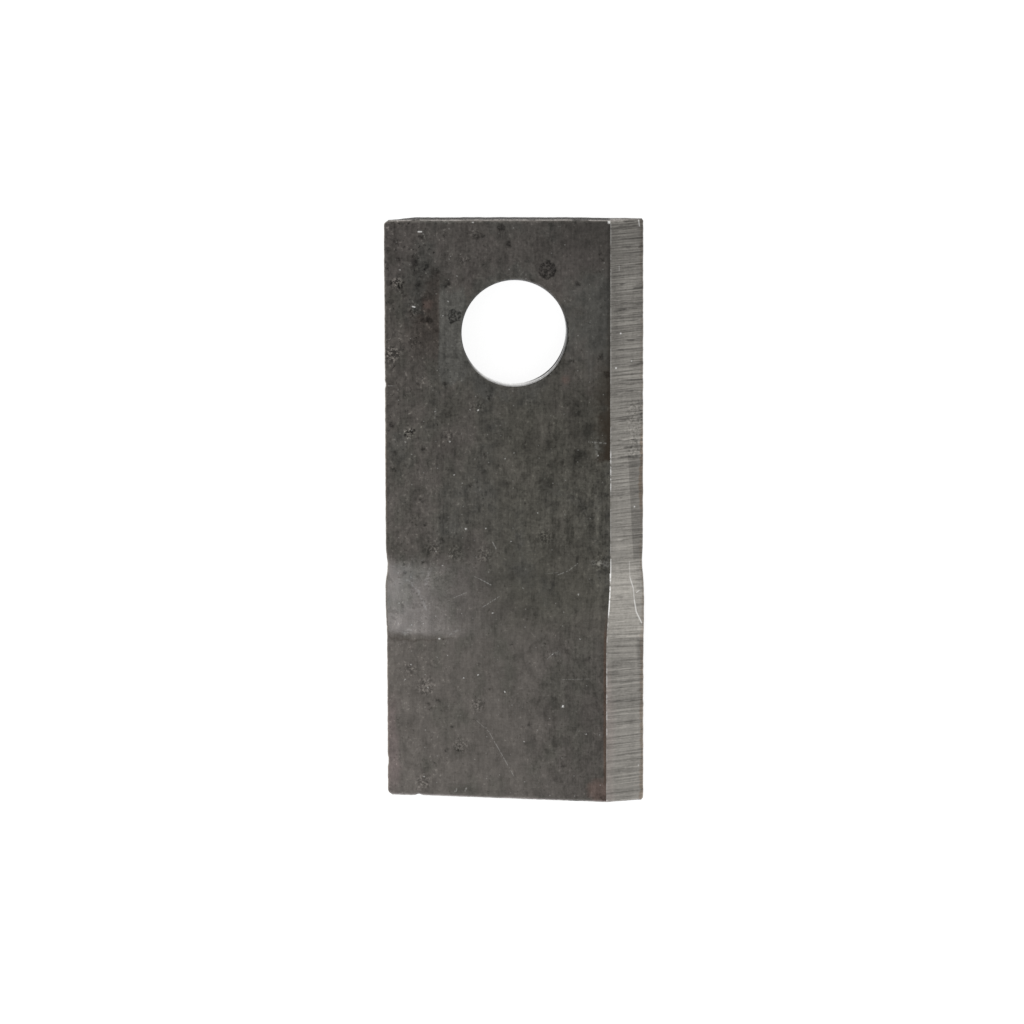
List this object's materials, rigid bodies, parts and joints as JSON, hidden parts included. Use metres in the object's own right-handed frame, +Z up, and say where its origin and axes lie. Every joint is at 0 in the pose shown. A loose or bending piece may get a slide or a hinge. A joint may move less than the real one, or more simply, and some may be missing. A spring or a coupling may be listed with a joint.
{
  "type": "rotary mower blade",
  "caption": "Flat steel mower blade with a round bolt hole near one end, a twist towards the tip and both long edges ground to a bevel, one on each face.",
  "frame": {"origin": "centre of the bolt hole, at half the bar's thickness", "axes": "+Z up as the blade lies on a floor, +Y along the blade towards its hole end, +X towards the cutting edge whose bevel is on top"},
  "size_m": [0.0482, 0.109, 0.009],
  "materials": {
    "scaled_steel": "hardened bar with dark rolling scale on the faces and bright ground bevels"
  },
  "bodies": {
    "root": {"blade": "scaled_steel"}
  },
  "joints": []
}
